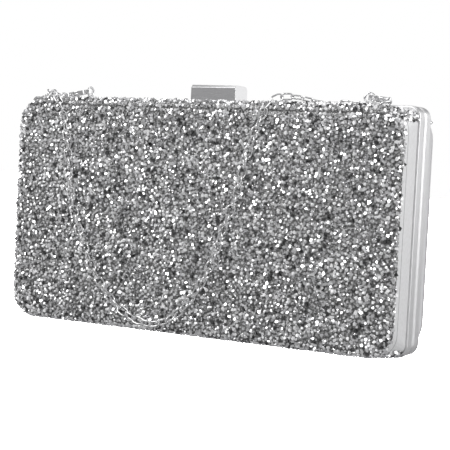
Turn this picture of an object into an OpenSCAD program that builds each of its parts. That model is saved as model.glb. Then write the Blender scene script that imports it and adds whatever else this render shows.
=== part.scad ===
// Hard box evening bag: two metal framed half shells hinged along the bottom,
// covered with crushed stones, closed by a sprung block clasp on the top and
// carried on a short cable chain with a lobster hook at each end.
// X is the width, -Y is the front face, Z is up. The bag stands on its frames.
// The front half carries the loops, hooks and chain. The rear half swings back.

/* [Bag] */
// Width over the metal frames
bag_w = 200; // [170:1:240]
// Height over the metal frames
bag_h = 107; // [90:1:130]
// Depth from front stones to rear stones
bag_d = 45; // [40:0.5:60]

/* [Frame] */
// Depth of one frame, from the parting plane
rail_d = 7.2; // [6.5:0.1:9]
// Thickness of a frame rail, seen from the front
rail_t = 4.2; // [3.8:0.1:4.6]
// Outer corner radius of a frame
rail_corner_r = 5; // [4.8:0.1:8]
// Rounding of the rail edge at the parting plane
rail_round = 2.8; // [2:0.1:3]

/* [Shell] */
// Corner radius of the front face
face_corner_r = 11; // [8:0.5:16]
// Rounding of the edge around the front face
face_edge_r = 3.5; // [2:0.25:5]
// How much narrower the shell is at its face than at its frame, each side
taper = 2; // [0:0.25:4]
// Wall of the moulded shell
shell_wall = 1.6; // [1.2:0.1:2.5]
// Thickness of the crushed stone layer
stone_t = 1.2; // [0.8:0.1:1.6]
// Thickness of the smooth side band
band_t = 0.6; // [0.4:0.1:0.8]
// Thickness of the lining
lining_t = 0.6; // [0.4:0.1:1]

/* [Hinges] */
// Distance of each hinge from the middle
hinge_x = 62; // [40:1:75]
// Length of each hinge
hinge_len = 24; // [15:1:40]
// Radius of the hinge barrels
knuckle_r = 1.4; // [1.2:0.05:1.5]
// Radius of the hinge pins
hinge_pin_r = 0.7; // [0.5:0.05:0.8]

/* [Top clasp] */
// Width of the clasp block
block_w = 23; // [16:0.5:30]
// Depth of the clasp block, front to back
block_d = 12; // [11:0.5:13]
// Height of the block above the frames
block_h = 7.2; // [6.5:0.1:9]

/* [Chain and hooks] */
// Distance of the left loop from the middle
loop_left = 69.5; // [60:0.5:80]
// Distance of the right loop from the middle
loop_right = 75; // [60:0.5:80]
// Mean radius of a loop
loop_r = 2.1; // [2:0.05:2.4]
// Radius of the loop wire
loop_wire_r = 0.55; // [0.4:0.05:0.6]
// Width over the chain links
chain_w = 2.8; // [2:0.1:5]

/* [Hidden] */

seam = 0.05;                       // half the gap between the two closed frames
mid_z = bag_h / 2;                 // middle of the frames' height
rail_front_r = 0.8;                // small rounding at the rail's shell side
rim_gap = 0.3;                     // shadow gap between a shell and its frame

// Core shell sizes, without the coverings
core_y = bag_d / 2 - stone_t;      // depth of the core's face from the parting plane
base_y = rail_d + rim_gap;         // where the shell starts, outside the frame
side_proud = 0.8;                  // how far the frame stands proud of the side band
base_w = bag_w - 2 * (side_proud + band_t);
face_w = base_w - 2 * taper;
core_z0 = 0.3 + stone_t;           // stones end just above the frames' rest plane
core_z1 = bag_h - 1.6 - stone_t;   // the top stones lie a little below the rails
core_h = core_z1 - core_z0;
core_mid = (core_z0 + core_z1) / 2;
base_corner_r = 4.5;
flange_w = bag_w - 2 * rail_t - 0.3;
flange_h = bag_h - 2 * rail_t - 0.3;
flange_r = 1.2;
flange_y = 1;                      // the flange ends this far from the parting plane
crest_r = 3.4;                     // bead of stones along the top front edge
crest_top = bag_h - 0.5;

// Side band outline on each end of a half
band_y0 = base_y;
front_band_y1 = bag_d / 2 - 4.2;
rear_band_y1 = bag_d / 2 - 0.8;
band_z0 = 3;
band_z1 = bag_h - 6.5;
band_fold = 3;                     // width of the turned edge beside the stones
fold_t = 0.35;

// Hinge axis: along X on the parting plane, inside the groove between the frames
axis_z = 1.6;
pin_clear = 0.05;
knuckle_gap = 0.2;
notch_r = knuckle_r + 0.25;
leaf_z0 = 0.2;
leaf_z1 = 1;
leaf_y = 6.4;

// Top clasp
block_z0 = bag_h + 0.15;
block_z1 = bag_h + block_h;
block_wall = 1.1;
pivot_y = -3.3;
pivot_z = bag_h + 1.9;
clasp_pin_r = 0.7;
recess_z = bag_h - 2.2;            // floor of the recess in the front rail
plate_t = 0.8;
bracket_w = 18;
bracket_d = 5;
bracket_y0 = -6.6;
catch_w = 14;
catch_d = 4.1;
catch_y0 = 2.4;
clasp_pocket_gap = 0.6;
ear_x = 7.5;
ear_t = 1.6;
ear_r = 1.4;
spring_r = 1.15;
spring_wire_r = 0.16;
spring_turns = 7;
spring_len = 5;
rivet_r = 0.8;
rivet_x = 4.2;
rivet_head_r = 1.3;
rivet_head_t = 0.35;
bracket_rivet_y = -4.2;
catch_rivet_y = 4.6;
ridge_y = 3.4;                     // snap ridge of the catch
ridge_r = 0.6;
ridge_len = 4;

// Hook shape, in its own frame: long axis X, gate side +Y, thickness Z
hook_t = 2.2;
eye_x = 11;
eye_r = 1.9;
eye_rim = 1.1;
gate_t = 1;
gate_slot = 1.2;
gate_pin = [6.1, 1.5];
gate_pin_r = 0.35;
tail_t = 1.2;
end_ring_r = 1.3;
end_ring_wire_r = 0.35;
hook_spring_r = 0.35;
hook_spring_len = 1;
hook_spring_x = 4.65;
hook_spring_wire_r = 0.1;
hook_tail_x = 1.3;                 // middle of the round tail
hook_tail_r = 1.4;
hook_hole_r = 0.8;

loop_y = -2.4;
loop_z = bag_h + 3;
loop_turns = [86.2, 10.8];            // turn of the left and right loop about the vertical

// Route of the chain's middle line, from the left end ring to the right one
chain_route = [
    [-81, -10.9, 107.2], [-83.2, -13, 107.2], [-83, -16.6, 108], [-79.8, -20.4, 108.4],
    [-75.6, -23.1, 106.9], [-72, -24.1, 103.4], [-69.2, -24.2, 96], [-67, -24.2, 86.5],
    [-65.8, -24.2, 77],
    [-65, -24.2, 68], [-63.2, -24.2, 59.5], [-60.6, -24.2, 51], [-57, -24.2, 41.5],
    [-51.5, -24.2, 30.5], [-45.5, -24.2, 21.5], [-39, -24.2, 14], [-31.5, -24.2, 8.4],
    [-24, -24.2, 5.2], [-16, -24.2, 4.2], [-8.5, -24.2, 6.6], [-2, -24.2, 11.2],
    [3, -24.2, 17], [7.5, -24.2, 23.5], [11.5, -24.2, 30.5], [15, -24.2, 39.5],
    [18, -24.2, 49.5], [21.2, -24.2, 57.5], [24, -24.2, 65.5], [26, -24.2, 74],
    [28.3, -24.2, 83], [30.8, -24.2, 91], [33.6, -24.2, 98.5], [37, -24, 104.6],
    [41.5, -21.8, 108.2], [47.5, -18.4, 108.7], [53.5, -14.8, 107.7], [60, -12.6, 106.9],
    [67, -13.4, 106.9], [73.4, -14.8, 106.9], [79.6, -15.2, 106.9], [84.6, -13.8, 107.2],
    [87, -10.4, 108.1]
];
chain_sides = 8;
chain_steps = 2;                   // rings from one route point to the next

silver = [0.78, 0.79, 0.81];
steel = [0.62, 0.63, 0.65];
stone = [0.66, 0.67, 0.7];
satin = [0.86, 0.87, 0.89];
plastic = [0.5, 0.5, 0.52];
fabric = [0.72, 0.72, 0.75];

// ---- sweep of a round wire along a list of points ----

function unit(v) = v / norm(v);
function tangent(p, i) = unit(p[min(i + 1, len(p) - 1)] - p[max(i - 1, 0)]);
function carried(t, side) = unit(side - t * (side * t));
function sides_of(p, i = 0, side = [0.3, 0.9, 0.2], out = []) =
    i == len(p) ? out
    : let(s = carried(tangent(p, i), side)) sides_of(p, i + 1, s, concat(out, [s]));

// Catmull-Rom points between the route's own points
function spline_at(a, b, c, d, t) =
    0.5 * (2 * b + (c - a) * t + (2 * a - 5 * b + 4 * c - d) * t * t
        + (3 * b - a - 3 * c + d) * t * t * t);
function smooth(p, n) = [
    for (i = [0 : len(p) - 2]) for (k = [0 : n - 1])
        spline_at(p[max(i - 1, 0)], p[i], p[i + 1], p[min(i + 2, len(p) - 1)], k / n),
    p[len(p) - 1]
];

module swept_wire(path, r, n) {
    side = sides_of(path);
    last = len(path) - 1;
    points = [
        for (i = [0 : last])
            let(t = tangent(path, i), u = side[i], v = cross(t, u))
            for (k = [0 : n - 1])
                path[i] + r * (cos(360 * k / n) * u + sin(360 * k / n) * v)
    ];
    walls = [
        for (i = [0 : last - 1]) for (k = [0 : n - 1])
            let(a = i * n + k, b = i * n + (k + 1) % n)
            [a, a + n, b + n, b]
    ];
    start = [for (k = [0 : n - 1]) k];
    end = [for (k = [n - 1 : -1 : 0]) last * n + k];
    polyhedron(points, concat([start], walls, [end]), convexity = 8);
}

module rod_x(r, length, fn = 48) {
    rotate([0, 90, 0]) cylinder(r = r, h = length, center = true, $fn = fn);
}

module torus(mean_r, wire_r) {
    rotate_extrude($fn = 64) translate([mean_r, 0]) circle(r = wire_r, $fn = 32);
}

// ---- frame ----

// Cross section of a rail: x outward, y from the parting plane, with both outer edges round
function arc(centre, r, from, count) =
    [for (i = [0 : count]) centre + r * [cos(from + 90 * i / count), sin(from + 90 * i / count)]];

module rail_profile() {
    inner = rail_corner_r - rail_t;
    outer = rail_corner_r;
    polygon(concat(
        [[inner, seam]],
        arc([outer - rail_round, seam + rail_round], rail_round, -90, 12),
        arc([outer - rail_front_r, rail_d - rail_front_r], rail_front_r, 0, 4),
        [[inner, rail_d]]
    ));
}

module rail(length) {
    rotate([90, 0, 0]) linear_extrude(height = length, center = true) rail_profile();
}

// The whole ring, upright, on the front side of the parting plane
module frame_ring() {
    cx = bag_w / 2 - rail_corner_r;
    cz = bag_h / 2 - rail_corner_r;
    translate([0, 0, mid_z]) rotate([90, 0, 0]) {
        for (turn = [0, 180]) rotate([0, 0, turn]) {
            translate([cx, 0, 0]) rail(2 * cz);
            translate([0, cz, 0]) rotate([0, 0, 90]) rail(2 * cx);
            translate([cx, cz, 0]) rotate_extrude(angle = 90, $fn = 96) rail_profile();
            translate([-cx, cz, 0]) rotate([0, 0, 90])
                rotate_extrude(angle = 90, $fn = 96) rail_profile();
        }
    }
}

// Room for both hinges: a round notch for the barrels and a pocket for the leaf
module hinge_cuts() {
    for (s = [-1, 1]) translate([s * hinge_x, 0, axis_z]) {
        rod_x(notch_r, hinge_len + 0.6);
        translate([-hinge_len / 2 - 0.3, -leaf_y - 0.1, leaf_z0 - axis_z - 1])
            cube([hinge_len + 0.6, leaf_y + 0.1, leaf_z1 - leaf_z0 + 1.05]);
    }
}

module rivet_holes(y) {
    for (s = [-1, 1]) translate([s * rivet_x, y, bag_h - rail_t - 1])
        cylinder(r = rivet_r + 0.05, h = rail_t + 2, $fn = 32);
}

module front_frame() {
    color(silver) difference() {
        frame_ring();
        hinge_cuts();
        translate([-block_w / 2 - clasp_pocket_gap, -rail_d - 1, recess_z])
            cube([block_w + 2 * clasp_pocket_gap, rail_d + 1, 3]);
        rivet_holes(bracket_rivet_y);
    }
}

module rear_frame() {
    color(silver) difference() {
        mirror([0, 1, 0]) frame_ring();
        mirror([0, 1, 0]) hinge_cuts();
        translate([-catch_w / 2 - 0.1, catch_y0 - 0.1, bag_h - plate_t])
            cube([catch_w + 0.2, catch_d + 0.2, 2]);
        rivet_holes(catch_rivet_y);
    }
}

// ---- shell, coverings and lining ----

// A round button with its front edge rounded: one corner of the shell's face
module face_corner(r, edge, thick) {
    rotate([90, 0, 0]) rotate_extrude($fn = 32) intersection() {
        translate([0, -thick]) square([r, 2 * thick]);
        union() {
            translate([0, -thick]) square([r - edge, 2 * thick]);
            translate([0, -thick]) square([r, 2 * thick - edge]);
            translate([r - edge, thick - edge]) circle(r = edge, $fn = 32);
        }
    }
}

// The solid pillow of a half, grown by g on every outer side
module pillow(g) {
    face_r = face_corner_r + g;
    edge = max(face_edge_r + g, 0.6);
    base_r = max(base_corner_r + g, 0.8);
    thick = edge + 0.2;
    hull() {
        for (sx = [-1, 1]) for (sz = [-1, 1]) {
            translate([sx * (face_w / 2 + g - face_r), -core_y - g + thick,
                       core_mid + sz * (core_h / 2 + g - face_r)])
                face_corner(face_r, edge, thick);
            translate([sx * (base_w / 2 + g - base_r), -base_y,
                       core_mid + sz * (core_h / 2 + g - base_r)])
                rotate([90, 0, 0]) cylinder(r = base_r, h = 0.5, $fn = 32);
        }
    }
}

// Flange of the shell inside the frame, shrunk by g
module flange(g, y0, y1) {
    w = flange_w - 2 * g;
    h = flange_h - 2 * g;
    translate([0, -y0, mid_z]) rotate([90, 0, 0]) linear_extrude(height = y1 - y0)
        union() {
            square([w - 2 * flange_r, h], center = true);
            square([w, h - 2 * flange_r], center = true);
            for (sx = [-1, 1]) for (sz = [-1, 1])
                translate([sx * (w / 2 - flange_r), sz * (h / 2 - flange_r)])
                    circle(r = flange_r, $fn = 32);
        }
}

module half_shell() {
    difference() {
        union() {
            pillow(0);
            flange(0, flange_y, base_y + 0.4);
        }
        // the hollow: as wide as the flange's inside, closed by the face wall
        intersection() {
            pillow(-shell_wall);
            flange(1.2, 0, bag_d);
        }
        flange(1.2, 0, base_y + 1);
    }
}

module side_box(side, band_y1, grow = 0) {
    x0 = side > 0 ? face_w / 2 - 4 : -bag_w / 2 - 2;
    translate([x0, -band_y1 - grow, band_z0 - grow])
        cube([bag_w / 2 + 2 - face_w / 2 + 4, band_y1 - band_y0 + grow, band_z1 - band_z0 + 2 * grow]);
}

module half_stone_cover(band_y1) {
    difference() {
        union() {
            pillow(stone_t);
            translate([0, -bag_d / 2 + crest_r + 0.2, crest_top - crest_r])
                rod_x(crest_r, face_w - 2 * face_corner_r + 8);
        }
        pillow(0.02);
        side_box(-1, band_y1, 0.05);
        side_box(1, band_y1, 0.05);
    }
}

module half_side_band(side, band_y1) {
    difference() {
        union() {
            intersection() {
                pillow(band_t);
                side_box(side, band_y1);
            }
            // turned edge, a second layer beside the stones
            intersection() {
                pillow(band_t + fold_t);
                side_box(side, band_y1);
                translate([-bag_w, -band_y1, 0]) cube([2 * bag_w, band_fold, bag_h]);
            }
        }
        pillow(0.02);
    }
}

module half_lining() {
    gap = 0.05;
    difference() {
        union() {
            intersection() {
                pillow(-shell_wall - gap);
                flange(1.2 + gap, 0, bag_d);
            }
            flange(1.2 + gap, flange_y, base_y + 1);
        }
        intersection() {
            pillow(-shell_wall - gap - lining_t);
            flange(1.2 + gap + lining_t, 0, bag_d);
        }
        flange(1.2 + gap + lining_t, 0, base_y + 2);
    }
}

module front_shell() {
    color(plastic) half_shell();
}

module front_stone_cover() {
    color(stone) half_stone_cover(front_band_y1);
}

module front_side_band_left() {
    color(satin) half_side_band(-1, front_band_y1);
}

module front_side_band_right() {
    color(satin) half_side_band(1, front_band_y1);
}

module front_lining() {
    color(fabric) half_lining();
}

module rear_shell() {
    color(plastic) mirror([0, 1, 0]) half_shell();
}

module rear_stone_cover() {
    color(stone) mirror([0, 1, 0]) half_stone_cover(rear_band_y1);
}

module rear_side_band_left() {
    color(satin) mirror([0, 1, 0]) half_side_band(-1, rear_band_y1);
}

module rear_side_band_right() {
    color(satin) mirror([0, 1, 0]) half_side_band(1, rear_band_y1);
}

module rear_lining() {
    color(fabric) mirror([0, 1, 0]) half_lining();
}

// ---- hinges ----

// Leaf with its barrels. The front leaf has the two end barrels, the rear leaf the middle one.
module hinge_leaf(x, side) {
    third = hinge_len / 3;
    middle = side > 0;
    color(silver) translate([x, 0, axis_z]) difference() {
        union() {
            if (middle) rod_x(knuckle_r, third - knuckle_gap);
            if (!middle) for (s = [-1, 1]) translate([s * third, 0, 0])
                rod_x(knuckle_r, third - knuckle_gap);
            // plate under the rail
            translate([-hinge_len / 2, side > 0 ? 1.8 : -leaf_y, leaf_z0 - axis_z])
                cube([hinge_len, leaf_y - 1.8, leaf_z1 - leaf_z0]);
            // tongues from the plate to the barrels
            for (s = middle ? [0] : [-1, 1])
                translate([s * third - (third - knuckle_gap) / 2, side > 0 ? 0 : -2.2,
                           leaf_z0 - axis_z])
                    cube([third - knuckle_gap, 2.2, leaf_z1 - leaf_z0]);
        }
        rod_x(hinge_pin_r + pin_clear, hinge_len + 2);
    }
}

module hinge_pin(x) {
    color(steel) translate([x, 0, axis_z]) rod_x(hinge_pin_r, hinge_len - 0.2);
}

module hinge_left_front_leaf() {
    hinge_leaf(-hinge_x, -1);
}

module hinge_left_rear_leaf() {
    hinge_leaf(-hinge_x, 1);
}

module hinge_left_pin() {
    hinge_pin(-hinge_x);
}

module hinge_right_front_leaf() {
    hinge_leaf(hinge_x, -1);
}

module hinge_right_rear_leaf() {
    hinge_leaf(hinge_x, 1);
}

module hinge_right_pin() {
    hinge_pin(hinge_x);
}

// ---- top clasp ----

module clasp_bracket() {
    color(steel) difference() {
        union() {
            translate([-bracket_w / 2, bracket_y0, recess_z]) cube([bracket_w, bracket_d, plate_t]);
            for (s = [-1, 1]) translate([s * ear_x, 0, 0]) {
                translate([0, pivot_y, pivot_z]) rod_x(ear_r, ear_t);
                translate([-ear_t / 2, pivot_y - 0.2, recess_z])
                    cube([ear_t, ear_r + 0.2, pivot_z - recess_z]);
            }
        }
        translate([0, pivot_y, pivot_z]) rod_x(clasp_pin_r + 0.02, 30);
        rivet_holes(bracket_rivet_y);
    }
}

// Two rivets: shanks through the plate and rail, flush inside, flat heads on top
module rivet_pair(y, head_z) {
    for (s = [-1, 1]) translate([s * rivet_x, y, 0]) {
        translate([0, 0, bag_h - rail_t])
            cylinder(r = rivet_r, h = head_z - bag_h + rail_t + 0.1, $fn = 32);
        translate([0, 0, head_z]) cylinder(r = rivet_head_r, h = rivet_head_t, $fn = 32);
    }
}

module clasp_bracket_rivets() {
    color(steel) rivet_pair(bracket_rivet_y, recess_z + plate_t);
}

// Side view of the block: x is depth, y is height
module block_profile() {
    d = block_d / 2;
    bevel = 1.1;
    back_r = 2.4;
    difference() {
        polygon([[-d, block_z0], [d, block_z0], [d, block_z1], [-d + bevel, block_z1],
                 [-d, block_z1 - bevel]]);
        translate([d - back_r, block_z1 - back_r]) difference() {
            square([back_r + 1, back_r + 1]);
            circle(r = back_r, $fn = 64);
        }
    }
}

module clasp_block() {
    inner_w = block_w - 2 * block_wall;
    inner_d = block_d - 2 * block_wall;
    color(silver) difference() {
        union() {
            difference() {
                rotate([90, 0, 90]) linear_extrude(height = block_w, center = true) block_profile();
                translate([-inner_w / 2, -inner_d / 2, block_z0 - 1])
                    cube([inner_w, inner_d, block_h - block_wall + 0.85]);
            }
            // snap rib inside the back wall
            translate([-ridge_len / 2, inner_d / 2 - 0.7, bag_h + 0.9]) cube([ridge_len, 0.8, 0.8]);
        }
        // the back stands clear of the catch
        translate([-block_w, 2, block_z0 - 1]) cube([2 * block_w, block_d, 1.75]);
        translate([0, pivot_y, pivot_z]) rod_x(clasp_pin_r + pin_clear, inner_w + 1.2);
    }
}

module clasp_pin() {
    color(steel) translate([0, pivot_y, pivot_z]) rod_x(clasp_pin_r, block_w - 2 * block_wall + 1);
}

// Torsion spring around the pin: one end on the plate, the other under the block's top
module clasp_spring() {
    per_turn = 12;
    count = spring_turns * per_turn;
    coil = [
        for (i = [0 : count])
            [spring_len * (i / count - 0.5),
             pivot_y + spring_r * cos(360 * i / per_turn),
             pivot_z + spring_r * sin(360 * i / per_turn)]
    ];
    foot = [[-spring_len / 2, pivot_y + spring_r, recess_z + plate_t + 0.3]];
    tip = [[spring_len / 2, pivot_y + spring_r + 0.1, pivot_z + 1],
           [spring_len / 2, pivot_y + spring_r + 0.4, block_z1 - block_wall - 0.5]];
    color(steel) swept_wire(concat(foot, coil, tip), spring_wire_r, 6);
}

module clasp_catch() {
    color(steel) difference() {
        union() {
            translate([-catch_w / 2, catch_y0, bag_h - plate_t]) cube([catch_w, catch_d, plate_t]);
            translate([0, ridge_y, bag_h]) rod_x(ridge_r, ridge_len, 32);
        }
        rivet_holes(catch_rivet_y);
    }
}

module clasp_catch_rivets() {
    color(steel) rivet_pair(catch_rivet_y, bag_h);
}

// ---- loops, hooks and chain ----

module chain_loop(x, turn) {
    color(silver) translate([x, loop_y, 0]) {
        translate([0, 0, loop_z]) rotate([0, 0, turn]) rotate([90, 0, 0])
            torus(loop_r, loop_wire_r);
        // foot brazed to the rail
        translate([0, -0.6, bag_h]) cylinder(r = 1.3, h = 0.7, $fn = 48);
    }
}

module chain_loop_left() {
    chain_loop(-loop_left, loop_turns[0]);
}

module chain_loop_right() {
    chain_loop(loop_right, loop_turns[1]);
}

// Places a hook on its loop: the loop's wire passes through the hook's eye
module place_hook(side) {
    if (side < 0) translate([-loop_left, loop_y, loop_z]) rotate([0.77, -12.09, 34.34])
        translate([-1.82 - eye_x, -1.45, 0.16]) children();
    if (side > 0) translate([loop_right, loop_y, loop_z]) rotate([-0.61, -7, 143.65])
        translate([-2.13 - eye_x, -1.56, 0.11]) mirror([0, 1, 0]) children();
}

// Outline of the hook seen flat
module hook_outline() {
    rim_r = eye_r + eye_rim;
    difference() {
        union() {
            translate([eye_x, 0]) circle(r = rim_r, $fn = 64);
            polygon([[2.4, -1.1], [5.2, -2.7], [eye_x - 2, -rim_r + 0.1], [eye_x - 2, rim_r - 0.6],
                     [5.2, 2.7], [2.4, 1.1]]);
            translate([hook_tail_x, 0]) circle(r = hook_tail_r, $fn = 48);
            translate([hook_tail_x, -0.75]) square([2, 1.5]);
        }
        translate([eye_x, 0]) circle(r = eye_r, $fn = 64);
        translate([hook_tail_x, 0]) circle(r = hook_hole_r, $fn = 48);
        // mouth of the hook, closed by the gate
        translate([eye_x - 1.6, 0.9]) square([3.1, 4]);
    }
}

module hook_body(side) {
    color(silver) place_hook(side) difference() {
        linear_extrude(height = hook_t, center = true) hook_outline();
        // slot that the gate turns in
        translate([4.1, -0.6, -gate_slot / 2]) cube([eye_x, 5, gate_slot]);
        // the tail is thinner, so that the end ring can swing through it
        for (s = [0, 1]) mirror([0, 0, s]) translate([-1, -2, tail_t / 2]) cube([3.2, 4, hook_t]);
        translate([gate_pin[0], gate_pin[1], 0])
            cylinder(r = gate_pin_r + 0.02, h = 2 * hook_t, center = true, $fn = 32);
    }
}

// Sprung gate: a bar from the pin to the hook's mouth with a thumb nib outside
module hook_gate(side) {
    color(silver) place_hook(side) difference() {
        linear_extrude(height = gate_t, center = true) union() {
            translate(gate_pin) circle(r = 1, $fn = 32);
            polygon([[gate_pin[0], gate_pin[1] - 0.9], [eye_x + 1.35, eye_r + 0.05],
                     [eye_x + 1.4, eye_r + 0.85], [eye_x - 1.6, eye_r + 1.05],
                     [gate_pin[0], gate_pin[1] + 1]]);
            translate([7.2, 3.3]) circle(r = 0.75, $fn = 32);
            translate([6.5, 2]) square([1.4, 1.3]);
        }
        translate([gate_pin[0], gate_pin[1], 0])
            cylinder(r = gate_pin_r + pin_clear, h = 2 * hook_t, center = true, $fn = 32);
    }
}

module hook_pin(side) {
    color(steel) place_hook(side) translate([gate_pin[0], gate_pin[1], 0])
        cylinder(r = gate_pin_r, h = hook_t, center = true, $fn = 32);
}

// Small spring in the slot that presses the gate shut
module hook_spring(side) {
    per_turn = 10;
    count = 4 * per_turn;
    path = [
        for (i = [0 : count])
            [hook_spring_x + hook_spring_r * cos(360 * i / per_turn), hook_spring_len * (i / count - 0.15),
             hook_spring_r * sin(360 * i / per_turn)]
    ];
    color(steel) place_hook(side) swept_wire(path, hook_spring_wire_r, 6);
}

// Ring that joins the hook's tail to the chain
module end_ring(side) {
    color(silver) place_hook(side) translate([1.1 - end_ring_r, 0, 0]) rotate([90, 0, 0])
        torus(end_ring_r, end_ring_wire_r);
}

module hook_left_body() {
    hook_body(-1);
}

module hook_left_gate() {
    hook_gate(-1);
}

module hook_left_pin() {
    hook_pin(-1);
}

module hook_left_spring() {
    hook_spring(-1);
}

module hook_left_end_ring() {
    end_ring(-1);
}

module hook_right_body() {
    hook_body(1);
}

module hook_right_gate() {
    hook_gate(1);
}

module hook_right_pin() {
    hook_pin(1);
}

module hook_right_spring() {
    hook_spring(1);
}

module hook_right_end_ring() {
    end_ring(1);
}

module chain_strap() {
    color(silver) swept_wire(smooth(chain_route, chain_steps), chain_w / 2, chain_sides);
}

front_frame();
front_shell();
front_stone_cover();
front_side_band_left();
front_side_band_right();
front_lining();
rear_frame();
rear_shell();
rear_stone_cover();
rear_side_band_left();
rear_side_band_right();
rear_lining();
hinge_left_front_leaf();
hinge_left_rear_leaf();
hinge_left_pin();
hinge_right_front_leaf();
hinge_right_rear_leaf();
hinge_right_pin();
clasp_bracket();
clasp_bracket_rivets();
clasp_block();
clasp_pin();
clasp_spring();
clasp_catch();
clasp_catch_rivets();
chain_loop_left();
chain_loop_right();
hook_left_body();
hook_left_gate();
hook_left_pin();
hook_left_spring();
hook_left_end_ring();
hook_right_body();
hook_right_gate();
hook_right_pin();
hook_right_spring();
hook_right_end_ring();
chain_strap();
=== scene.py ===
# Looks of the evening bag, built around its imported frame. Metres, in the frame's own axes.
# X is the width, -Y is the front face, Z is up.
import math

import bmesh
import bpy
import numpy as np
from mathutils import Matrix, Vector


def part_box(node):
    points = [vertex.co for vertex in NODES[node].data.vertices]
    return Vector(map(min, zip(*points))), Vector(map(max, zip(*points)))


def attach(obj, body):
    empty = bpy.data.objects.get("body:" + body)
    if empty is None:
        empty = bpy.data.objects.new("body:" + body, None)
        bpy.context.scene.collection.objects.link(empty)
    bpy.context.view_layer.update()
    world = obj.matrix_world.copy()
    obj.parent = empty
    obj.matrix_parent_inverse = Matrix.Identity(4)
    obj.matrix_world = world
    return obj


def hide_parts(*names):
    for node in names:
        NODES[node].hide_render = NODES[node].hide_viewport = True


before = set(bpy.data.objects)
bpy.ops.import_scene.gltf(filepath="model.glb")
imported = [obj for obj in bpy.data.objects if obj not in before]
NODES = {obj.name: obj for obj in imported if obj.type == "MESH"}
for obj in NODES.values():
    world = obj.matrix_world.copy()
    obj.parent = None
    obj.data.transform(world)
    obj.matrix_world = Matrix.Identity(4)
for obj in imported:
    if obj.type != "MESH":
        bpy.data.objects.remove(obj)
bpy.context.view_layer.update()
MM = 0.001


# ---------------------------------------------------------------- camera

CAMERA_PLACE = (0.2657, -0.49479, 0.07998)
CAMERA_TURN = (27.652, 3.043, 2.847)    # yaw to the left, pitch down and roll, in degrees
CAMERA_LENS = 96.9                      # focal length in mm, on a sensor 36 mm wide


def make_camera():
    """The photographer stands to the bag's right and slightly above it."""
    yaw, pitch, roll = (math.radians(a) for a in CAMERA_TURN)
    ahead = Vector((-math.sin(yaw) * math.cos(pitch), math.cos(yaw) * math.cos(pitch),
                    -math.sin(pitch)))
    level = Vector((math.cos(yaw), math.sin(yaw), 0))
    over = level.cross(ahead)
    right = level * math.cos(roll) + over * math.sin(roll)
    top = over * math.cos(roll) - level * math.sin(roll)
    camera = bpy.data.objects.new("camera", bpy.data.cameras.new("camera"))
    turn = Matrix((right, top, -ahead)).transposed().to_4x4()
    camera.matrix_world = Matrix.Translation(CAMERA_PLACE) @ turn
    camera.data.lens = CAMERA_LENS
    camera.data.sensor_width = 36
    camera.data.clip_start = 0.01
    camera.data.clip_end = 20
    bpy.context.collection.objects.link(camera)
    bpy.context.scene.camera = camera


# ---------------------------------------------------------------- materials

class Shader:
    """Small helper that builds a node material around one Principled shader."""

    def __init__(self, name, color, metallic, roughness, **sockets):
        self.material = bpy.data.materials.new(name)
        self.material.use_nodes = True
        self.tree = self.material.node_tree
        self.main = self.tree.nodes["Principled BSDF"]
        self.main.inputs["Base Color"].default_value = (*color, 1)
        self.main.inputs["Metallic"].default_value = metallic
        self.main.inputs["Roughness"].default_value = roughness
        for socket, value in sockets.items():
            self.main.inputs[socket.replace("_", " ")].default_value = value
        self.material.diffuse_color = (*color, 1)

    def node(self, kind, **values):
        made = self.tree.nodes.new(kind)
        for key, value in values.items():
            if key in made.inputs:
                made.inputs[key].default_value = value
            else:
                setattr(made, key, value)
        return made

    def link(self, a, out, b, into):
        self.tree.links.new(a.outputs[out], b.inputs[into])

    def place(self, scale):
        """Object coordinates, stretched by scale on each axis."""
        coords = self.node("ShaderNodeTexCoord")
        mapping = self.node("ShaderNodeMapping")
        mapping.inputs["Scale"].default_value = scale
        self.link(coords, "Object", mapping, "Vector")
        return mapping

    def noise(self, scale, size=1.0, detail=3.0):
        place = self.place(scale)
        noise = self.node("ShaderNodeTexNoise", Scale=size, Detail=detail)
        self.link(place, "Vector", noise, "Vector")
        return noise

    def ramp(self, source, out, stops, into=None):
        ramp = self.node("ShaderNodeValToRGB")
        for k, (at, color) in enumerate(stops):
            stop = ramp.color_ramp.elements[k] if k < 2 else ramp.color_ramp.elements.new(at)
            stop.position = at
            stop.color = (*color, 1)
        self.link(source, out, ramp, "Fac")
        if into:
            self.link(ramp, "Color", self.main, into)
        return ramp

    def bump(self, source, out, strength, distance):
        bump = self.node("ShaderNodeBump", Strength=strength, Distance=distance)
        self.link(source, out, bump, "Height")
        self.link(bump, "Normal", self.main, "Normal")


def grey(v, blue=0.0):
    return (v, v, v * (1 + blue))


def brushed_frame():
    """Silver plate with fine brush lines across the rail."""
    s = Shader("frame_silver", grey(0.86, 0.01), 1.0, 0.3)
    lines = s.noise((300, 9000, 300), 1.0, 2.0)
    s.ramp(lines, "Fac", [(0.3, grey(0.72)), (0.7, grey(0.93, 0.01))], "Base Color")
    s.ramp(lines, "Fac", [(0.3, grey(0.32)), (0.7, grey(0.46))], "Roughness")
    s.bump(lines, "Fac", 0.12, 0.0002)
    return s.material


def brushed_block():
    """The clasp block: satin plate brushed along its length."""
    s = Shader("block_silver", grey(0.8, 0.01), 1.0, 0.17)
    lines = s.noise((150, 7000, 7000), 1.0, 2.0)
    s.ramp(lines, "Fac", [(0.3, grey(0.76)), (0.7, grey(0.84, 0.01))], "Base Color")
    s.ramp(lines, "Fac", [(0.3, grey(0.15)), (0.7, grey(0.2))], "Roughness")
    s.bump(lines, "Fac", 0.01, 0.0001)
    return s.material


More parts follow.
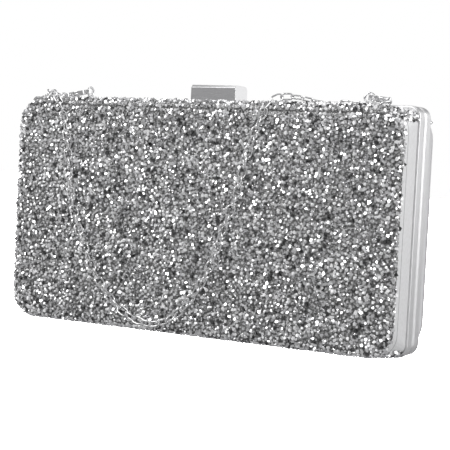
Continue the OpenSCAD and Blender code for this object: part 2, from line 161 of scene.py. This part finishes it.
def polished(name="polished_silver", value=0.86, rough=0.1):
    """Bright plate with a trace of handling wear."""
    s = Shader(name, grey(value, 0.015), 1.0, rough)
    wear = s.noise((400, 400, 400), 1.0, 4.0)
    tones = [(0.35, grey(value * 0.94)), (0.65, grey(min(value * 1.05, 1), 0.01))]
    s.ramp(wear, "Fac", tones, "Base Color")
    s.ramp(wear, "Fac", [(0.4, grey(rough * 0.7)), (0.75, grey(rough * 1.8))], "Roughness")
    return s.material


def steel():
    s = Shader("plain_steel", grey(0.6, 0.02), 1.0, 0.35)
    grain = s.noise((3000, 600, 600), 1.0, 3.0)
    s.ramp(grain, "Fac", [(0.3, grey(0.5)), (0.7, grey(0.66))], "Base Color")
    s.ramp(grain, "Fac", [(0.3, grey(0.28)), (0.7, grey(0.45))], "Roughness")
    s.bump(grain, "Fac", 0.1, 0.0001)
    return s.material


BAG_HALF_DEPTH = 22.5 * MM
CREASES = (-15.3 * MM, 17.5 * MM)     # depth of the crease on the front and rear side bands, where shade is painted
CREASE_PAINTED_SHADE = 0.42                   # painted shade: how much of the band's own tone is left in a crease
CREASE_OUTER = 0.009                  # half widths of a crease, as shares of the bag's depth:
CREASE_INNER = 0.004                  # where it begins to darken, and where it is darkest


def satin_band():
    """Metallic silver facing with a fine pressed grain, and painted shade along its creases."""
    s = Shader("satin_band", grey(0.9, 0.01), 0.35, 0.38, Coat_Weight=0.3, Coat_Roughness=0.25)
    grain = s.noise((2400, 2400, 700), 1.0, 3.0)
    tone = s.ramp(grain, "Fac", [(0.3, grey(0.86)), (0.7, grey(0.97, 0.01))])
    # painted shade: a grey line darkens the crease where the turned edge beside the stones begins
    coords = s.node("ShaderNodeTexCoord")
    split = s.node("ShaderNodeSeparateXYZ")
    s.link(coords, "Object", split, "Vector")
    depth = s.node("ShaderNodeMapRange")
    for key, value in (("From Min", -BAG_HALF_DEPTH), ("From Max", BAG_HALF_DEPTH)):
        depth.inputs[key].default_value = value
    s.link(split, "Y", depth, "Value")
    stops = []
    for y in CREASES:
        at = (y / BAG_HALF_DEPTH + 1) / 2
        stops += [(at - CREASE_OUTER, grey(1)), (at - CREASE_INNER, grey(CREASE_PAINTED_SHADE)),
                  (at + CREASE_INNER, grey(CREASE_PAINTED_SHADE)), (at + CREASE_OUTER, grey(1))]
    painted_crease_shade = s.ramp(depth, "Result", stops)
    both = s.node("ShaderNodeVectorMath", operation="MULTIPLY")
    s.tree.links.new(tone.outputs["Color"], both.inputs[0])
    s.tree.links.new(painted_crease_shade.outputs["Color"], both.inputs[1])
    s.link(both, "Vector", s.main, "Base Color")
    s.bump(grain, "Fac", 0.25, 0.0001)
    return s.material


def shell_plastic():
    s = Shader("shell_plastic", grey(0.07), 0.0, 0.55)
    grain = s.noise((1500, 1500, 1500), 1.0, 3.0)
    s.ramp(grain, "Fac", [(0.3, grey(0.05)), (0.7, grey(0.09))], "Base Color")
    s.bump(grain, "Fac", 0.2, 0.0001)
    return s.material


def lining_fabric():
    """Silver grey satin: fine crossing threads and a soft sheen."""
    s = Shader("lining_satin", grey(0.62, 0.03), 0.0, 0.5, Sheen_Weight=0.5, Sheen_Roughness=0.35)
    warp = s.noise((2600, 2600, 400), 1.0, 2.0)
    weft = s.noise((400, 2600, 3200), 1.0, 2.0)
    mix = s.node("ShaderNodeMath", operation="MULTIPLY")
    s.tree.links.new(warp.outputs["Fac"], mix.inputs[0])
    s.tree.links.new(weft.outputs["Fac"], mix.inputs[1])
    s.ramp(mix, "Value", [(0.12, grey(0.48, 0.03)), (0.4, grey(0.74, 0.03))], "Base Color")
    s.bump(mix, "Value", 0.4, 0.0002)
    return s.material


def stone_base():
    """Silver glitter ground that shows between the stones; its dark tone is partly its own colour
    and partly painted shade in the gaps.
    """
    # painted shade: the low grey values stand for the shade in the gaps between the stones, besides
    # the ground's own dark tone
    s = Shader("stone_ground_and_painted_shade", grey(0.32), 0.8, 0.35)
    place = s.place((1300, 1300, 1300))
    cells = s.node("ShaderNodeTexVoronoi", Scale=1.0)
    s.link(place, "Vector", cells, "Vector")
    s.ramp(cells, "Distance", [(0.0, grey(0.5)), (0.7, grey(0.1))], "Base Color")
    s.bump(cells, "Distance", 0.6, 0.0003)
    return s.material


STONE_SHADES = [
    # name, grey value, metallic, roughness, and the share of the stones that have it
    ("stone_bright", 1.0, 1.0, 0.06, 0.27),
    ("stone_silver", 0.82, 1.0, 0.12, 0.22),
    ("stone_frost", 0.9, 1.0, 0.35, 0.16),
    ("stone_grey", 0.72, 1.0, 0.15, 0.12),
    ("stone_dark", 0.14, 1.0, 0.1, 0.08),
    ("stone_white", 1.0, 0.2, 0.5, 0.15),
]
STONE_SHARES = [shade[-1] for shade in STONE_SHADES]


def stone_shades():
    """Mirror backed stones, each shade one plain finish."""
    return [Shader(name, grey(value, 0.01), metallic, rough).material
            for name, value, metallic, rough, _ in STONE_SHADES]


# ---------------------------------------------------------------- mesh helpers

def mesh_object(name, verts, faces, materials, shades=None, smooth=False):
    mesh = bpy.data.meshes.new(name)
    mesh.from_pydata([tuple(v) for v in verts], [], [tuple(f) for f in faces])
    for material in materials:
        mesh.materials.append(material)
    if shades is not None:
        mesh.polygons.foreach_set("material_index", np.asarray(shades, np.int32))
    mesh.polygons.foreach_set("use_smooth", np.full(len(mesh.polygons), smooth))
    mesh.update()
    made = bpy.data.objects.new(name, mesh)
    bpy.context.collection.objects.link(made)
    return made


def cad_mesh(node):
    """World copy of a CAD node's mesh in triangles, with doubled vertices merged."""
    work = bmesh.new()
    work.from_mesh(NODES[node].data)
    work.transform(NODES[node].matrix_world)
    bmesh.ops.remove_doubles(work, verts=work.verts, dist=1e-6)
    bmesh.ops.triangulate(work, faces=work.faces)
    return work


def paint(node, material):
    mesh = NODES[node].data
    mesh.materials.clear()
    mesh.materials.append(material)


def softened(name, node, material, width, body, smooth=True):
    """Stands for a CAD node: the same shape with its edges rounded by width."""
    work = cad_mesh(node)
    bmesh.ops.dissolve_limit(work, angle_limit=math.radians(1), verts=work.verts, edges=work.edges)
    mesh = bpy.data.meshes.new(name)
    work.to_mesh(mesh)
    work.free()
    made = bpy.data.objects.new(name, mesh)
    bpy.context.collection.objects.link(made)
    mesh.materials.append(material)
    bevel = made.modifiers.new("edges", "BEVEL")
    bevel.width = width
    bevel.segments = 3
    bevel.limit_method = "ANGLE"
    bevel.angle_limit = math.radians(40)
    bevel.harden_normals = smooth
    mesh.polygons.foreach_set("use_smooth", np.full(len(mesh.polygons), smooth))
    made.modifiers.new("triangles", "TRIANGULATE").keep_custom_normals = True
    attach(made, body)
    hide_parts(node)


# ---------------------------------------------------------------- chain

# The chain's route in mm: from the left hook's ring, down the front in one long drape, and
# back over the crest to the right hook's ring. It is the route of the CAD's chain.
CHAIN_ROUTE = [
    (-81, -10.9, 107.2), (-83.2, -13, 107.2), (-83, -16.6, 108), (-79.8, -20.4, 108.4),
    (-75.6, -23.1, 106.9), (-72, -24.1, 103.4), (-69.2, -24.2, 96), (-67, -24.2, 86.5),
    (-65.8, -24.2, 77), (-65, -24.2, 68), (-63.2, -24.2, 59.5), (-60.6, -24.2, 51),
    (-57, -24.2, 41.5), (-51.5, -24.2, 30.5), (-45.5, -24.2, 21.5), (-39, -24.2, 14),
    (-31.5, -24.2, 8.4), (-24, -24.2, 5.2), (-16, -24.2, 4.2), (-8.5, -24.2, 6.6),
    (-2, -24.2, 11.2), (3, -24.2, 17), (7.5, -24.2, 23.5), (11.5, -24.2, 30.5),
    (15, -24.2, 39.5), (18, -24.2, 49.5), (21.2, -24.2, 57.5), (24, -24.2, 65.5),
    (26, -24.2, 74), (28.3, -24.2, 83), (30.8, -24.2, 91), (33.6, -24.2, 98.5),
    (37, -24, 104.6), (41.5, -21.8, 108.2), (47.5, -18.4, 108.7), (53.5, -14.8, 107.7),
    (60, -12.6, 106.9), (67, -13.4, 106.9), (73.4, -14.8, 106.9), (79.6, -15.2, 106.9),
    (84.6, -13.8, 107.2), (87, -10.4, 108.1),
]
ROUTE_STEPS = 12          # fine points between two points of the route
LINK_LENGTH = 6.2 * MM
LINK_WIDTH = 4.2 * MM
LINK_WIRE = 0.8 * MM
LINK_PITCH = 4.5 * MM
LINK_TILT = 45            # degrees that each link turns about the chain, to alternate sides
LINK_TILT_ON_TOP = 20     # the same where the chain runs along the top on the right
LINK_TILT_SPREAD = 12
CREST_Y = -18.9 * MM      # middle of the bead of stones along the top front edge
CREST_Z = 103.1 * MM


def unit(v):
    return v / np.linalg.norm(v, axis=-1, keepdims=True)


def spline(points, steps):
    """Catmull-Rom points through a route."""
    p = np.array([points[0], *points, points[-1]], float)
    t = (np.arange(steps) / steps)[:, None]
    out = []
    for a, b, c, d in zip(p, p[1:], p[2:], p[3:]):
        out.append(0.5 * (2 * b + (c - a) * t + (2 * a - 5 * b + 4 * c - d) * t * t
                          + (3 * b - a - 3 * c + d) * t ** 3))
    return np.vstack([*out, p[-1:]])


def along(path, distances):
    """Points at these distances along a fine path, and the path's directions there."""
    run = np.concatenate([[0], np.cumsum(np.linalg.norm(np.diff(path, axis=0), axis=1))])
    at = np.stack([np.interp(distances, run, path[:, k]) for k in range(3)], 1)
    ahead = np.stack([np.interp(distances + LINK_WIRE, run, path[:, k]) for k in range(3)], 1)
    behind = np.stack([np.interp(distances - LINK_WIRE, run, path[:, k]) for k in range(3)], 1)
    return at, unit(ahead - behind)


def rest_normal(p):
    """Which way is up for a link that lies on the bag at this point."""
    if p[2] < CREST_Z:
        return np.array([0, -1.0, 0])
    if p[1] < CREST_Y:
        return unit(np.array([0, p[1] - CREST_Y, p[2] - CREST_Z]))
    return np.array([0, 0, 1.0])


def oval_link(sides=8, turns=7):
    """One open oval link about the origin: long axis X, flat in XY."""
    end = (LINK_LENGTH - LINK_WIDTH) / 2
    bend = (LINK_WIDTH - LINK_WIRE) / 2
    line = []
    for start, shift in ((-90, end), (90, -end)):
        for k in range(turns + 1):
            a = math.radians(start + 180 * k / turns)
            line.append((shift + bend * math.cos(a), bend * math.sin(a), math.cos(a), math.sin(a)))
    verts = []
    for x, y, nx, ny in line:
        for k in range(sides):
            a = 2 * math.pi * k / sides
            r = LINK_WIRE / 2
            verts.append((x + r * math.cos(a) * nx, y + r * math.cos(a) * ny, r * math.sin(a)))
    n = len(line)
    faces = [(i * sides + k, ((i + 1) % n) * sides + k, ((i + 1) % n) * sides + (k + 1) % sides,
              i * sides + (k + 1) % sides) for i in range(n) for k in range(sides)]
    return np.array(verts), faces


def make_chain(material):
    rng = np.random.default_rng(11)
    path = spline(np.array(CHAIN_ROUTE) * MM, ROUTE_STEPS)
    length = float(np.linalg.norm(np.diff(path, axis=0), axis=1).sum())
    count = round(length / LINK_PITCH)
    middles, ways = along(path, (np.arange(count) + 0.5) * length / count)
    verts, faces = oval_link()
    all_verts, all_faces = [], []
    for k, (middle, way) in enumerate(zip(middles, ways)):
        side = unit(np.cross(rest_normal(middle), way))
        over = np.cross(way, side)
        tilt = LINK_TILT_ON_TOP if middle[1] > CREST_Y and middle[0] > 0 else LINK_TILT
        spread = rng.uniform(-LINK_TILT_SPREAD, LINK_TILT_SPREAD)
        turn = math.radians((tilt if k % 2 else -tilt) + spread)
        across = side * math.cos(turn) + over * math.sin(turn)
        flat = np.cross(way, across)
        all_faces += [[v + k * len(verts) for v in f] for f in faces]
        all_verts.append(middle + verts @ np.stack([way, across, flat]))
    chain = mesh_object("chain_links", np.vstack(all_verts), all_faces, [material], smooth=True)
    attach(chain, "front_half")
    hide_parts("chain_strap")


# ---------------------------------------------------------------- crushed stones

STONE_SPACING = 1.25 * MM               # least distance between the middles of two stones
STONE_TRIES = 3.2                       # random points tried in each square of that spacing
STONE_SIZE = (0.72 * MM, 1.12 * MM)     # radius of one stone, smallest and largest
STONE_SIDES = 5
STONE_TURN = 0.3                        # how far a corner strays, as a share of one side
STONE_REACH = (0.82, 1.15)              # a corner's distance, as a share of the radius
STONE_TABLE = (0.5, 0.85)               # the flat top, as a share of the outline
STONE_SHIFT = 0.1                       # spread of the top's shift, as a share of the radius
STONE_LEAN = 0.26                       # spread of a stone's lean, and of its top's slope
STONE_SINK = -0.5 * MM
STONE_RISE = (0.02, 0.42)               # height of the flat top over the layer, in mm
LOWEST_STONE = 0.2 * MM                 # height that no stone reaches below, to stand clear
GROUND_SINK = 0.4                       # how far the ground is pressed in, in mm
CORE_INSET = (0.018, 0.0105, 0.018)     # metres from a half's box to the core within it
FACES_OUT = 0.3                         # least cosine between a normal and the way from the core
TINY_AREA = 1e-12                       # square metres
BAND_FRONT = 18.3 * MM                  # depth of the front side bands' edge
SPILL = 2.8 * MM                        # how far the stones reach over it at the top
SPILL_Z = (68 * MM, 99 * MM)            # heights where the spill begins and is widest
SPILL_SPREAD = (-0.5, 0.3)              # how ragged its edge is, in mm


def triangles(node):
    """Triangles of a CAD node with their unit normals and areas, without the tiny ones."""
    work = cad_mesh(node)
    tri = np.array([[v.co[:] for v in f.verts] for f in work.faces])
    work.free()
    normal = np.cross(tri[:, 1] - tri[:, 0], tri[:, 2] - tri[:, 0])
    area = np.linalg.norm(normal, axis=1) / 2
    keep = area > TINY_AREA
    return tri[keep], unit(normal[keep]), area[keep]


def outer_triangles(node):
    """Those on the outside of a half's stone layer."""
    tri, normal, area = triangles(node)
    middle = tri.mean(1)
    lo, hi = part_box(node)
    inset = np.array(CORE_INSET)
    away = middle - np.clip(middle, np.array(lo) + inset, np.array(hi) - inset)
    outside = (normal * away).sum(1) > FACES_OUT * np.linalg.norm(away, axis=1)
    return tri[outside], normal[outside], area[outside]


def scatter(tri, normal, area, spacing, rng):
    """Random points on triangles, none closer than spacing to another, and their normals."""
    count = int(area.sum() / spacing ** 2 * STONE_TRIES)
    pick = rng.choice(len(tri), count, p=area / area.sum())
    u, v = rng.random((2, count, 1))
    flip = u + v > 1
    u, v = np.where(flip, 1 - u, u), np.where(flip, 1 - v, v)
    t = tri[pick]
    points = t[:, 0] + u * (t[:, 1] - t[:, 0]) + v * (t[:, 2] - t[:, 0])
    cell = np.floor(points / spacing).astype(int)
    near = [(i, j, k) for i in (-1, 0, 1) for j in (-1, 0, 1) for k in (-1, 0, 1)]
    taken, kept = {}, []
    for n, (c, p) in enumerate(zip(map(tuple, cell.tolist()), points.tolist())):
        beside = (q for i, j, k in near for q in taken.get((c[0] + i, c[1] + j, c[2] + k), ()))
        if all((p[0] - q[0]) ** 2 + (p[1] - q[1]) ** 2 + (p[2] - q[2]) ** 2 >= spacing ** 2
               for q in beside):
            taken.setdefault(c, []).append(p)
            kept.append(n)
    return points[kept], normal[pick[kept]]


def stone_mesh(name, points, normals, materials, rng):
    """Crushed stones: low crowns with a tilted flat top, each at its own turn and lean."""
    n, s = len(points), STONE_SIDES
    lean = unit(normals + rng.normal(0, STONE_LEAN, (n, 3)))
    side = unit(np.cross(lean, rng.normal(0, 1, (n, 3))))
    other = np.cross(lean, side)
    size = rng.uniform(*STONE_SIZE, n)[:, None]
    angle = (np.arange(s) + rng.uniform(-STONE_TURN, STONE_TURN, (n, s))) * 2 * np.pi / s
    reach = size * rng.uniform(*STONE_REACH, (n, s))
    table = rng.uniform(*STONE_TABLE, (n, 1)) * reach
    shift = rng.normal(0, STONE_SHIFT, (n, 2)) * size
    rise = rng.uniform(*STONE_RISE, (n, 1)) * MM
    slope = rng.normal(0, STONE_LEAN, (n, 2))
    bx, by = reach * np.cos(angle), reach * np.sin(angle)
    tx, ty = table * np.cos(angle) + shift[:, :1], table * np.sin(angle) + shift[:, 1:]
    tz = rise + slope[:, :1] * tx + slope[:, 1:] * ty
    x, y = np.hstack([bx, tx]), np.hstack([by, ty])
    z = np.hstack([np.full((n, s), STONE_SINK), tz])
    verts = (points[:, None] + x[..., None] * side[:, None] + y[..., None] * other[:, None]
             + z[..., None] * lean[:, None]).reshape(-1, 3)
    verts[:, 2] = np.maximum(verts[:, 2], LOWEST_STONE)
    ring = np.arange(s)
    after = (ring + 1) % s
    skirt = np.vstack([np.stack([ring, after, after + s], 1),
                       np.stack([ring, after + s, ring + s], 1)])
    top = np.array([(s, s + k, s + k + 1) for k in range(1, s - 1)])
    pattern = np.vstack([skirt, top])
    faces = (pattern[None] + (np.arange(n) * 2 * s)[:, None, None]).reshape(-1, 3)
    shade = rng.choice(len(materials), n, p=STONE_SHARES)
    return mesh_object(name, verts, faces, materials, np.repeat(shade, len(pattern)))


def ground(half, material):
    """The layer the stones are set in: the CAD layer, its outside pressed in a little."""
    node = half + "_stone_cover"
    work = cad_mesh(node)
    lo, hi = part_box(node)
    inset = Vector(CORE_INSET)
    low, high = Vector(lo) + inset, Vector(hi) - inset
    work.normal_update()
    moves = []
    for v in work.verts:
        core = Vector(tuple(min(max(c, a), b) for c, a, b in zip(v.co, low, high)))
        away = v.co - core
        if away.length and v.normal.dot(away) > FACES_OUT * away.length:
            moves.append((v, v.normal * GROUND_SINK * MM))
    for v, step in moves:
        v.co -= step
    mesh = bpy.data.meshes.new(half + "_stone_ground_and_painted_shade")
    work.to_mesh(mesh)
    work.free()
    mesh.materials.append(material)
    made = bpy.data.objects.new(half + "_stone_ground_and_painted_shade", mesh)
    bpy.context.collection.objects.link(made)
    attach(made, half + "_half")
    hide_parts(node)


def set_stones(half, points, normals, materials, seed):
    """Two pieces a half: the stones of the face and those of the edges."""
    rng = np.random.default_rng(seed)
    flat = np.abs(normals[:, 1]) > 0.95
    for part, some in (("face", flat), ("edge", ~flat)):
        stones = stone_mesh(f"{half}_stones_{part}", points[some], normals[some], materials, rng)
        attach(stones, half + "_half")


def strays(end, rng):
    """Stones that spill over the front side band near its top, fewer the lower down."""
    way = 1 if end == "right" else -1
    tri, normal, area = triangles("front_side_band_" + end)
    outside = normal[:, 0] * way > 0.5
    points, normals = scatter(tri[outside], normal[outside], area[outside], STONE_SPACING, rng)
    height = np.clip((points[:, 2] - SPILL_Z[0]) / (SPILL_Z[1] - SPILL_Z[0]), 0, 1)
    edge = -BAND_FRONT + SPILL * height + rng.uniform(*SPILL_SPREAD, len(points)) * MM
    spilt = (points[:, 1] < edge) & (height > 0)
    return points[spilt], normals[spilt]


def make_stones():
    shades = stone_shades()
    under = stone_base()
    rng = np.random.default_rng(7)
    for half, seed in (("front", 21), ("rear", 22)):
        points, normals = scatter(*outer_triangles(half + "_stone_cover"), STONE_SPACING, rng)
        if half == "front":
            left, right = strays("left", rng), strays("right", rng)
            points = np.vstack([points, left[0], right[0]])
            normals = np.vstack([normals, left[1], right[1]])
        ground(half, under)
        set_stones(half, points, normals, shades, seed)


# ---------------------------------------------------------------- the whole bag

make_camera()
chain_metal = polished("chain_silver", 0.84, 0.16)
make_chain(chain_metal)
make_stones()

silver = polished()
frame_metal = brushed_frame()
plain_steel = steel()
satin = satin_band()
plastic = shell_plastic()
lining = lining_fabric()

for half in ("front", "rear"):
    paint(half + "_frame", frame_metal)
    paint(half + "_shell", plastic)
    paint(half + "_lining", lining)
    for end in ("left", "right"):
        paint(f"{half}_side_band_{end}", satin)
for end in ("left", "right"):
    for leaf in ("front_leaf", "rear_leaf"):
        paint(f"hinge_{end}_{leaf}", silver)
    for part in (f"hinge_{end}_pin", f"hook_{end}_pin", f"hook_{end}_spring"):
        paint(part, plain_steel)
    paint(f"chain_loop_{end}", silver)
    paint(f"hook_{end}_end_ring", chain_metal)
    softened(f"hook_{end}_cast", f"hook_{end}_body", chain_metal, 0.25 * MM,
             "front_half")
    softened(f"hook_{end}_lever", f"hook_{end}_gate", chain_metal, 0.15 * MM,
             f"hook_{end}_gate")
for part in ("clasp_bracket", "clasp_bracket_rivets", "clasp_pin", "clasp_spring",
             "clasp_catch", "clasp_catch_rivets"):
    paint(part, plain_steel)
softened("clasp_cap", "clasp_block", brushed_block(), 0.2 * MM,
         "clasp_block", smooth=False)


# ---------------------------------------------------------------- studio

WORLD_LIGHT = (0.33, 0.33, 0.335, 1)    # what lights the bag from all round
LIGHTS_AIM = (0, 0, 0.05)
LIGHTS = (
    # name, place, width and height, and how bright it looks
    ("key", (-0.9, -1.3, 1.2), (1.8, 1.3), 3.1),
    ("side", (1.5, 0.15, 0.55), (1.3, 1.2), 2.0),
    ("top", (0, 0.3, 1.6), (1.6, 1.1), 1.0),
    ("back_right", (0.85, 1.5, 0.4), (1.0, 0.9), 0.7),
    ("glint_left", (-1.15, -0.75, 0.5), (0.08, 0.08), 30),
    ("glint_right", (0.75, -1.1, 0.75), (0.07, 0.07), 30),
    ("glint_low", (0.1, -1.3, 0.15), (0.05, 0.05), 30),
)
FLOOR_REACH = 3
FLOOR_ALPHA = 0.2       # see-through, because the opened rear half reaches below it


def area_light(name, place, aim, size, power):
    data = bpy.data.lights.new(name, "AREA")
    data.shape = "RECTANGLE"
    data.size, data.size_y = size
    data.energy = power
    lamp = bpy.data.objects.new(name, data)
    way = Vector(aim) - Vector(place)
    lamp.matrix_world = Matrix.Translation(place) @ way.to_track_quat("-Z", "Y").to_matrix().to_4x4()
    bpy.context.collection.objects.link(lamp)


def studio():
    """White behind the bag, soft grey light on it, lamps round it and a pale floor."""
    world = bpy.data.worlds.new("studio")
    bpy.context.scene.world = world
    world.use_nodes = True
    tree = world.node_tree
    tree.nodes.clear()
    out = tree.nodes.new("ShaderNodeOutputWorld")
    mix = tree.nodes.new("ShaderNodeMixShader")
    seen = tree.nodes.new("ShaderNodeBackground")
    lit = tree.nodes.new("ShaderNodeBackground")
    path = tree.nodes.new("ShaderNodeLightPath")
    seen.inputs["Color"].default_value = (1, 1, 1, 1)
    lit.inputs["Color"].default_value = WORLD_LIGHT
    tree.links.new(path.outputs["Is Camera Ray"], mix.inputs[0])
    tree.links.new(lit.outputs[0], mix.inputs[1])
    tree.links.new(seen.outputs[0], mix.inputs[2])
    tree.links.new(mix.outputs[0], out.inputs["Surface"])
    for name, place, size, bright in LIGHTS:
        area_light(name, place, LIGHTS_AIM, size, bright * math.pi * size[0] * size[1])
    r = FLOOR_REACH
    white = Shader("floor_white", grey(0.9), 0.0, 0.6, Alpha=FLOOR_ALPHA).material
    corners = [(-r, -r, 0), (r, -r, 0), (r, r, 0), (-r, r, 0)]
    floor = mesh_object("floor", corners, [(0, 1, 2, 3)], [white])
    floor.is_shadow_catcher = True
    bpy.context.scene.view_settings.view_transform = "Standard"


studio()
